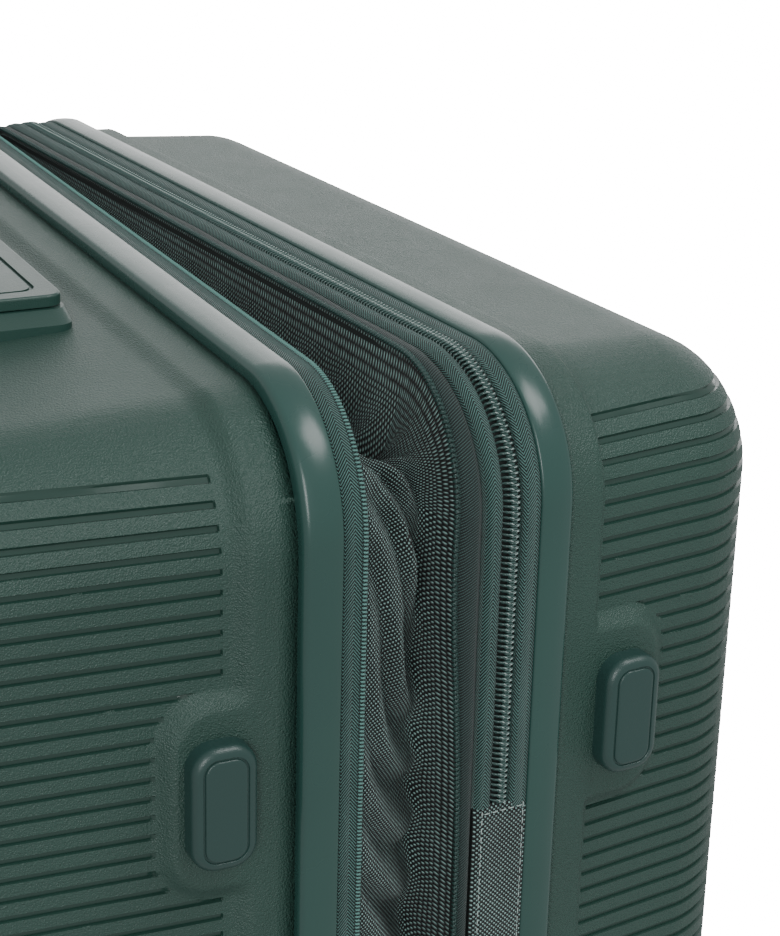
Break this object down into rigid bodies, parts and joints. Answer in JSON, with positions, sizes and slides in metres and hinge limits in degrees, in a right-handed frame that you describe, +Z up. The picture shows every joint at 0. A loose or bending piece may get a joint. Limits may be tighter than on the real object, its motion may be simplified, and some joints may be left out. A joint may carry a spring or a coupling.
{
  "type": "hard shell suitcase on wheels",
  "caption": "Medium hard-shell spinner suitcase, standing with its expansion gusset let out on the hinge side; telescopic handle, lock, hinged lid.",
  "frame": {"origin": "on the floor, under the middle of the whole suitcase's box", "axes": "+X towards the side that opens (zip sliders, lock, side handle), +Y towards the back half with the telescopic handle, +Z up"},
  "size_m": [0.461, 0.312, 0.6705],
  "materials": {
    "shell": "fine pebble-textured dark green polypropylene with a satin sheen",
    "rim": "smooth satin-gloss dark green frame strip",
    "foot": "dark green satin moulded plastic",
    "tape": "dark green herringbone-woven zip tape",
    "coil": "nylon coil zip teeth, very dark green",
    "gusset": "two-tone ballistic nylon basket weave, dark green and pale teal",
    "lining": "smooth dark grey polyester lining",
    "strap": "ribbed black elastic webbing",
    "buckle": "black moulded acetal",
    "handle": "satin dark green moulded handle plastic",
    "tube": "satin anodised aluminium tube",
    "metal": "plain steel screws",
    "slider": "dark gunmetal painted zinc",
    "lock": "black gloss lock body",
    "dial": "knurled grey plastic thumb wheels",
    "wheel": "quiet soft polyurethane wheel tread",
    "fork": "dark green-black glass-filled nylon"
  },
  "bodies": {
    "back_half": {"carry_handle_base": "handle", "side_handle_base": "handle", "trolley_cup": "handle", "trolley_outer_tubes": "tube", "trolley_bracket": "fork", "back_shell": "shell", "back_rim": "rim", "back_side_feet": "foot", "expansion_tape": "tape", "expansion_coil": "coil", "gusset": "gusset", "back_hinge_side_housing": "handle", "back_open_side_housing": "handle", "back_lining": "lining", "packing_straps": "strap", "buckle_socket": "buckle", "buckle_tongue": "buckle", "back_foot_screws": "metal"},
    "middle_tubes": {"trolley_middle_tubes": "tube"},
    "grip": {"trolley_inner_tubes": "tube", "trolley_grip": "handle"},
    "grip_button": {"trolley_button": "handle"},
    "carry_handle": {"carry_handle": "handle"},
    "side_handle": {"side_handle": "handle"},
    "band": {"free_coil": "coil", "band_strip": "tape", "main_tape_back": "tape", "main_coil_back": "coil", "fabric_hinge": "gusset"},
    "lid": {"front_shell": "shell", "front_rim": "rim", "front_side_feet": "foot", "front_foot_screws": "metal", "main_tape_front": "tape", "main_coil_front": "coil", "front_lining": "lining", "divider_panel": "lining", "lock_case": "lock", "front_hinge_side_housing": "handle", "front_open_side_housing": "handle"},
    "lock_button": {"lock_button": "lock"},
    "expansion_slider": {"expansion_slider": "slider"},
    "expansion_pull": {"expansion_pull": "slider"},
    "upper_slider": {"upper_slider": "slider"},
    "upper_pull": {"upper_pull": "slider"},
    "lower_slider": {"lower_slider": "slider"},
    "lower_pull": {"lower_pull": "slider"},
    "dial_1": {"lock_dial_1": "dial"},
    "dial_2": {"lock_dial_2": "dial"},
    "dial_3": {"lock_dial_3": "dial"},
    "back_hinge_side_fork": {"back_hinge_side_fork": "fork"},
    "back_hinge_side_wheels": {"back_hinge_side_wheels": "wheel"},
    "back_open_side_fork": {"back_open_side_fork": "fork"},
    "back_open_side_wheels": {"back_open_side_wheels": "wheel"},
    "front_hinge_side_fork": {"front_hinge_side_fork": "fork"},
    "front_hinge_side_wheels": {"front_hinge_side_wheels": "wheel"},
    "front_open_side_fork": {"front_open_side_fork": "fork"},
    "front_open_side_wheels": {"front_open_side_wheels": "wheel"}
  },
  "joints": [
    {"name": "expansion", "type": "hinge", "parent": "back_half", "child": "band", "pos_m": [0.22213, 0.01607, 0.365], "axis": [0, 0, 1], "range_deg": [-4.26, 0], "deforming": ["gusset"]},
    {"name": "lid_open", "type": "hinge", "parent": "band", "child": "lid", "pos_m": [-0.22564, -0.04411, 0.365], "axis": [0, 0, -1], "range_deg": [0, 170], "deforming": ["fabric_hinge"]},
    {"name": "lower_stage", "type": "slide", "parent": "back_half", "child": "middle_tubes", "axis": [0, 0, 1], "range_m": [0, 0.21]},
    {"name": "upper_stage", "type": "slide", "parent": "middle_tubes", "child": "grip", "axis": [0, 0, 1], "range_m": [0, 0.21]},
    {"name": "grip_release", "type": "slide", "parent": "grip", "child": "grip_button", "axis": [0, 0, -1], "range_m": [0, 0.0025], "stiffness_N_per_m": 400},
    {"name": "carry_handle_lift", "type": "slide", "parent": "back_half", "child": "carry_handle", "axis": [0, 0, 1], "range_m": [0, 0.016], "stiffness_N_per_m": 60, "springref_m": -0.004},
    {"name": "side_handle_lift", "type": "slide", "parent": "back_half", "child": "side_handle", "axis": [1, 0, 0], "range_m": [0, 0.016], "stiffness_N_per_m": 60, "springref_m": -0.004},
    {"name": "dial_1_turn", "type": "hinge", "parent": "lid", "child": "dial_1", "pos_m": [0.21699, -0.04689, 0.353], "axis": [0, 0, 1], "continuous": true},
    {"name": "dial_2_turn", "type": "hinge", "parent": "lid", "child": "dial_2", "pos_m": [0.21699, -0.04689, 0.361], "axis": [0, 0, 1], "continuous": true},
    {"name": "dial_3_turn", "type": "hinge", "parent": "lid", "child": "dial_3", "pos_m": [0.21699, -0.04689, 0.369], "axis": [0, 0, 1], "continuous": true},
    {"name": "lock_release", "type": "slide", "parent": "lid", "child": "lock_button", "axis": [-0.9972, -0.0743, 0], "range_m": [0, 0.002], "stiffness_N_per_m": 300},
    {"name": "expansion_zip", "type": "slide", "parent": "back_half", "child": "expansion_slider", "axis": [0, 0, 1], "range_m": [-0.3, 0.04]},
    {"name": "expansion_pull_swing", "type": "hinge", "parent": "expansion_slider", "child": "expansion_pull", "pos_m": [0.22713, 0.00572, 0.5465], "axis": [0, -1, 0], "range_deg": [0, 165]},
    {"name": "upper_zip", "type": "slide", "parent": "band", "child": "upper_slider", "axis": [0, 0, 1], "range_m": [-0.05, 0.13]},
    {"name": "upper_pull_swing", "type": "hinge", "parent": "upper_slider", "child": "upper_pull", "pos_m": [0.22771, -0.01039, 0.4615], "axis": [0.0743, -0.9972, 0], "range_deg": [0, 165]},
    {"name": "lower_zip", "type": "slide", "parent": "band", "child": "lower_slider", "axis": [0, 0, 1], "range_m": [-0.13, 0.05]},
    {"name": "lower_pull_swing", "type": "hinge", "parent": "lower_slider", "child": "lower_pull", "pos_m": [0.22771, -0.01039, 0.2715], "axis": [0.0743, -0.9972, 0], "range_deg": [0, 165]},
    {"name": "back_hinge_side_swivel", "type": "hinge", "parent": "back_half", "child": "back_hinge_side_fork", "pos_m": [-0.17887, 0.10007, 0.06], "axis": [0, 0, 1], "continuous": true},
    {"name": "back_hinge_side_roll", "type": "hinge", "parent": "back_hinge_side_fork", "child": "back_hinge_side_wheels", "pos_m": [-0.17887, 0.11407, 0.022], "axis": [1, 0, 0], "continuous": true},
    {"name": "back_open_side_swivel", "type": "hinge", "parent": "back_half", "child": "back_open_side_fork", "pos_m": [0.17313, 0.10007, 0.06], "axis": [0, 0, 1], "continuous": true},
    {"name": "back_open_side_roll", "type": "hinge", "parent": "back_open_side_fork", "child": "back_open_side_wheels", "pos_m": [0.17313, 0.11407, 0.022], "axis": [1, 0, 0], "continuous": true},
    {"name": "front_hinge_side_swivel", "type": "hinge", "parent": "lid", "child": "front_hinge_side_fork", "pos_m": [-0.17049, -0.11145, 0.06], "axis": [0, 0, 1], "continuous": true},
    {"name": "front_hinge_side_roll", "type": "hinge", "parent": "front_hinge_side_fork", "child": "front_hinge_side_wheels", "pos_m": [-0.17153, -0.09749, 0.022], "axis": [0.9972, 0.0743, 0], "continuous": true},
    {"name": "front_open_side_swivel", "type": "hinge", "parent": "lid", "child": "front_open_side_fork", "pos_m": [0.18054, -0.0853, 0.06], "axis": [0, 0, 1], "continuous": true},
    {"name": "front_open_side_roll", "type": "hinge", "parent": "front_open_side_fork", "child": "front_open_side_wheels", "pos_m": [0.1795, -0.07134, 0.022], "axis": [0.9972, 0.0743, 0], "continuous": true}
  ]
}
